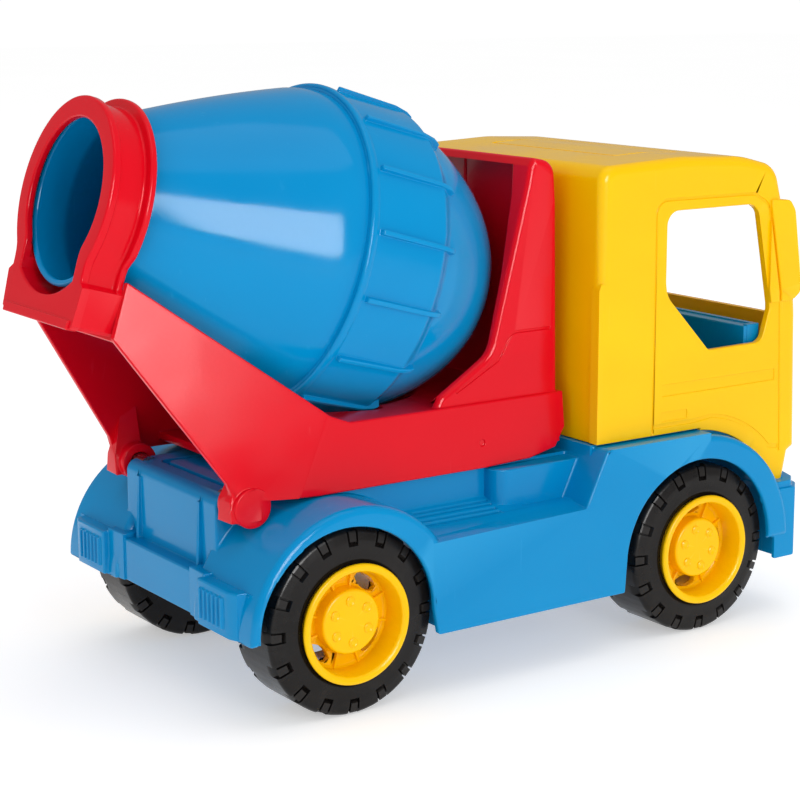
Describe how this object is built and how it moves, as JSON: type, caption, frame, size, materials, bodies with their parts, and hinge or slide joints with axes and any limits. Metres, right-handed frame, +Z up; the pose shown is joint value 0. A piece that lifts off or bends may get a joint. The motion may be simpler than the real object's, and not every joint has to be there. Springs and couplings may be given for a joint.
{
  "type": "toy cement mixer",
  "caption": "Moulded plastic toy cement mixer lorry with rolling wheels, a spinning hollow drum and a tipping drum frame.",
  "frame": {"origin": "on the ground, under the middle of the length and of the width", "axes": "+X forwards, towards the cab; +Y to the lorry's left; +Z up"},
  "size_m": [0.266, 0.126, 0.1891],
  "materials": {
    "blue_plastic": "glossy moulded",
    "red_plastic": "glossy moulded",
    "yellow_plastic": "glossy moulded",
    "black_tyre": "satin blow-moulded plastic",
    "steel": "plated"
  },
  "bodies": {
    "lorry": {"chassis": "blue_plastic", "cab_shell": "yellow_plastic", "cab_interior": "blue_plastic", "cab_screws": "steel", "tilt_pin_left": "steel", "tilt_pin_right": "steel"},
    "mixer_body": {"mixer_frame": "red_plastic", "drum_collar": "red_plastic", "collar_screws": "steel", "drum_pivot_pin": "steel"},
    "drum": {"drum_rear_shell": "blue_plastic", "drum_front_shell": "blue_plastic"},
    "rear_wheels": {"rear_axle": "steel", "rim_rear_left": "yellow_plastic", "rim_rear_right": "yellow_plastic", "tyre_rear_left": "black_tyre", "tyre_rear_right": "black_tyre"},
    "front_wheels": {"front_axle": "steel", "rim_front_left": "yellow_plastic", "rim_front_right": "yellow_plastic", "tyre_front_left": "black_tyre", "tyre_front_right": "black_tyre"}
  },
  "joints": [
    {"name": "rear_axle_roll", "type": "hinge", "parent": "lorry", "child": "rear_wheels", "pos_m": [-0.05904, 0, 0.0294], "axis": [0, 1, 0], "continuous": true},
    {"name": "front_axle_roll", "type": "hinge", "parent": "lorry", "child": "front_wheels", "pos_m": [0.08296, 0, 0.0294], "axis": [0, 1, 0], "continuous": true},
    {"name": "mixer_tilt", "type": "hinge", "parent": "lorry", "child": "mixer_body", "pos_m": [-0.08404, 0, 0.0655], "axis": [0, -1, 0], "range_deg": [0, 35]},
    {"name": "drum_spin", "type": "hinge", "parent": "mixer_body", "child": "drum", "pos_m": [-0.05904, 0, 0.1408], "axis": [0.9613, 0, -0.2756], "continuous": true}
  ]
}
